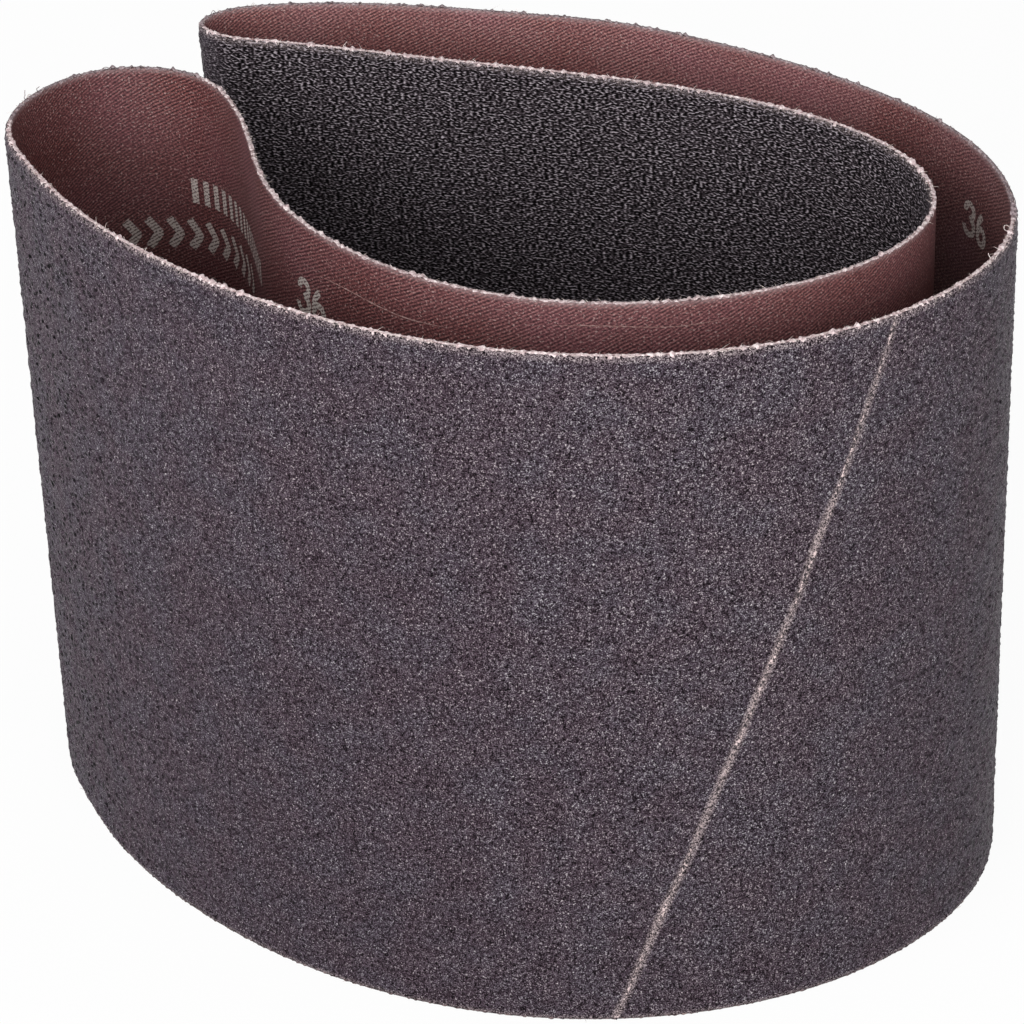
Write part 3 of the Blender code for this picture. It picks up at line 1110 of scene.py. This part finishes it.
buildPrint("printedNumberFront", gritNumber(), 531.8 * mm, 87.1 * mm)
buildPrint("printedNumberRight", gritNumber(), 194.7 * mm, 86.7 * mm)
buildPrint("printedMarksTop", uprights(30, 2.1, 3.8, 1.1), 577.9 * mm, 80.3 * mm)
buildPrint("printedMarksMiddle", chevrons(10, 3.1, 4.4, 1.25), 588.6 * mm, 72.6 * mm)
buildPrint("printedMarksLow", uprights(24, 2.4, 3.4, 1.0), 578.4 * mm, 65.7 * mm)

# Scuffs: pale threads rubbed along the cloth
scuffForm = {
    "seed": 60,
    "steps": 60,
    "even": 0.6,
    "uneven": 0.6,
    "sway": 0.25,  # millimetres up and down
    "swayTurns": 1.1,
    "lift": 0.03 * mm,
    # from and to along the belt, height at each end, width, all in millimetres
    "lines": [
        (526.0, 505.0, 94.2, 94.0, 0.18),
        (492.0, 470.0, 96.7, 96.9, 0.13),
        (454.0, 447.0, 93.4, 95.0, 0.12),
        (607.2, 606.6, 91.0, 86.2, 0.22),
        (605.4, 605.0, 88.0, 84.6, 0.16),
        (481.0, 476.5, 90.4, 92.0, 0.12),
    ],
}


def buildScuffs():
    steps = scuffForm["steps"]
    t = np.linspace(0, 1, steps)
    for k, (start, end, low, high, width) in enumerate(scuffForm["lines"]):
        random = np.random.default_rng(scuffForm["seed"] + k)
        ragged = scuffForm["even"] + scuffForm["uneven"] * random.random(steps)
        half = width / 2 * np.sin(math.pi * t) ** 0.5 * ragged
        sway = scuffForm["sway"] * np.sin(2 * math.pi * scuffForm["swayTurns"] * t)
        s = (start + (end - start) * t)[:, None] + np.zeros(3)
        z = (low + (high - low) * t + sway)[:, None] + half[:, None] * np.array([-1, 0, 1])
        depth = -belt["clothHalf"] - np.array([0, 1, 0])[None, :] * scuffForm["lift"] + 0 * z
        place = np.stack([s, z], axis=-1) * mm
        points = wall(s * mm, z * mm, depth)
        piece = makePiece(f"scuff{k + 1}", points, gridFaces(steps, 3), scuffMaterial, place)


buildScuffs()
print("print and scuffs built")

# Floor, light and camera
studio = {
    "world": 0.50,
    "floorReach": 6.0,
    "floorGlow": 0.93,  # how much of the floor's white is its own, as the camera sees it
    # name, place, aim, width across and power
    "lamps": [
        ("leftSoftbox", (-0.32, -1.27, 0.50), (0, 0, 0.04), 1.0, 12.0),
        ("rightSoftbox", (0.45, -1.22, 0.55), (0, 0, 0.04), 1.0, 6.8),
        ("highSoftbox", (-0.90, -0.70, 0.90), (0, 0, 0.05), 0.8, 5.4),
    ],
}


def facing(direction):
    # the turn that points a lamp this way
    x, y, z = direction / np.linalg.norm(direction)
    return (math.acos(-z), 0.0, math.atan2(y, x) - math.pi / 2)


def areaLight(name, place, aim, size, power):
    data = bpy.data.lights.new(name, "AREA")
    data.shape = "DISK"
    data.size = size
    data.energy = power
    lamp = bpy.data.objects.new(name, data)
    lamp.location = place
    lamp.rotation_euler = facing(np.array(aim) - np.array(place))
    bpy.context.scene.collection.objects.link(lamp)


def buildFloor():
    # painted white, and lit from itself where the camera or a reflection sees it
    material, tree, shader = newMaterial("whitePaintedFloor")
    rays = addNode(tree, "ShaderNodeLightPath")
    seen = maths(tree, "MAXIMUM", rays.outputs["Is Camera Ray"], rays.outputs["Is Glossy Ray"])
    grainy = addNode(tree, "ShaderNodeTexNoise", None, {"Scale": 40.0})
    colour = ramp(tree, grainy.outputs["Fac"], [(0.4, "#f8f8f8"), (0.6, "#fbfbfb")])
    tree.links.new(colour, shader.inputs["Base Color"])
    shader.inputs["Roughness"].default_value = 0.9
    glow = addNode(tree, "ShaderNodeEmission", None, {"Color": (1, 1, 1, 1), "Strength": 1.0})
    blend = addNode(tree, "ShaderNodeMixShader", None, {
        0: maths(tree, "MULTIPLY", seen, studio["floorGlow"]), 1: shader.outputs[0], 2: glow.outputs[0]})
    tree.links.new(blend.outputs[0], tree.nodes["Material Output"].inputs["Surface"])
    mesh = bpy.data.meshes.new("floor")
    reach = studio["floorReach"]
    corners = [(-reach, -reach, 0), (reach, -reach, 0), (reach, reach, 0), (-reach, reach, 0)]
    mesh.from_pydata(corners, [], [(0, 1, 2, 3)])
    mesh.materials.append(material)
    floor = bpy.data.objects.new("floor", mesh)
    bpy.context.scene.collection.objects.link(floor)


def buildWorld():
    # white behind the belt, and dimmer as a light on it
    world = bpy.data.worlds.new("studioWorld")
    bpy.context.scene.world = world
    world.use_nodes = True
    tree = world.node_tree
    background = tree.nodes["Background"]
    rays = addNode(tree, "ShaderNodeLightPath")
    seen = maths(tree, "MAXIMUM", rays.outputs["Is Camera Ray"], rays.outputs["Is Transmission Ray"])
    strength = multiplyAdd(tree, seen, 1.0 - studio["world"], studio["world"])
    background.inputs["Color"].default_value = (1, 1, 1, 1)
    tree.links.new(strength, background.inputs["Strength"])


buildFloor()
buildWorld()
for lamp in studio["lamps"]:
    areaLight(*lamp)

view = {
    "lensPixels": 3682.0,  # focal length in the photograph's pixels
    "photoPixels": 1024,
    "sensor": 36.0,
    "pitch": 32.28,
    "place": (-0.61 * mm, -423.98 * mm, 314.90 * mm),
    "near": 0.01,
}
cameraData = bpy.data.cameras.new("photoCamera")
cameraData.sensor_fit = "HORIZONTAL"
cameraData.sensor_width = view["sensor"]
cameraData.lens = view["sensor"] * view["lensPixels"] / view["photoPixels"]
cameraData.clip_start = view["near"]
camera = bpy.data.objects.new("photoCamera", cameraData)
camera.location = view["place"]
camera.rotation_euler = (math.radians(90 - view["pitch"]), 0, 0)
bpy.context.scene.collection.objects.link(camera)
bpy.context.scene.camera = camera
bpy.context.scene.view_settings.view_transform = "Standard"
print("stage ready")
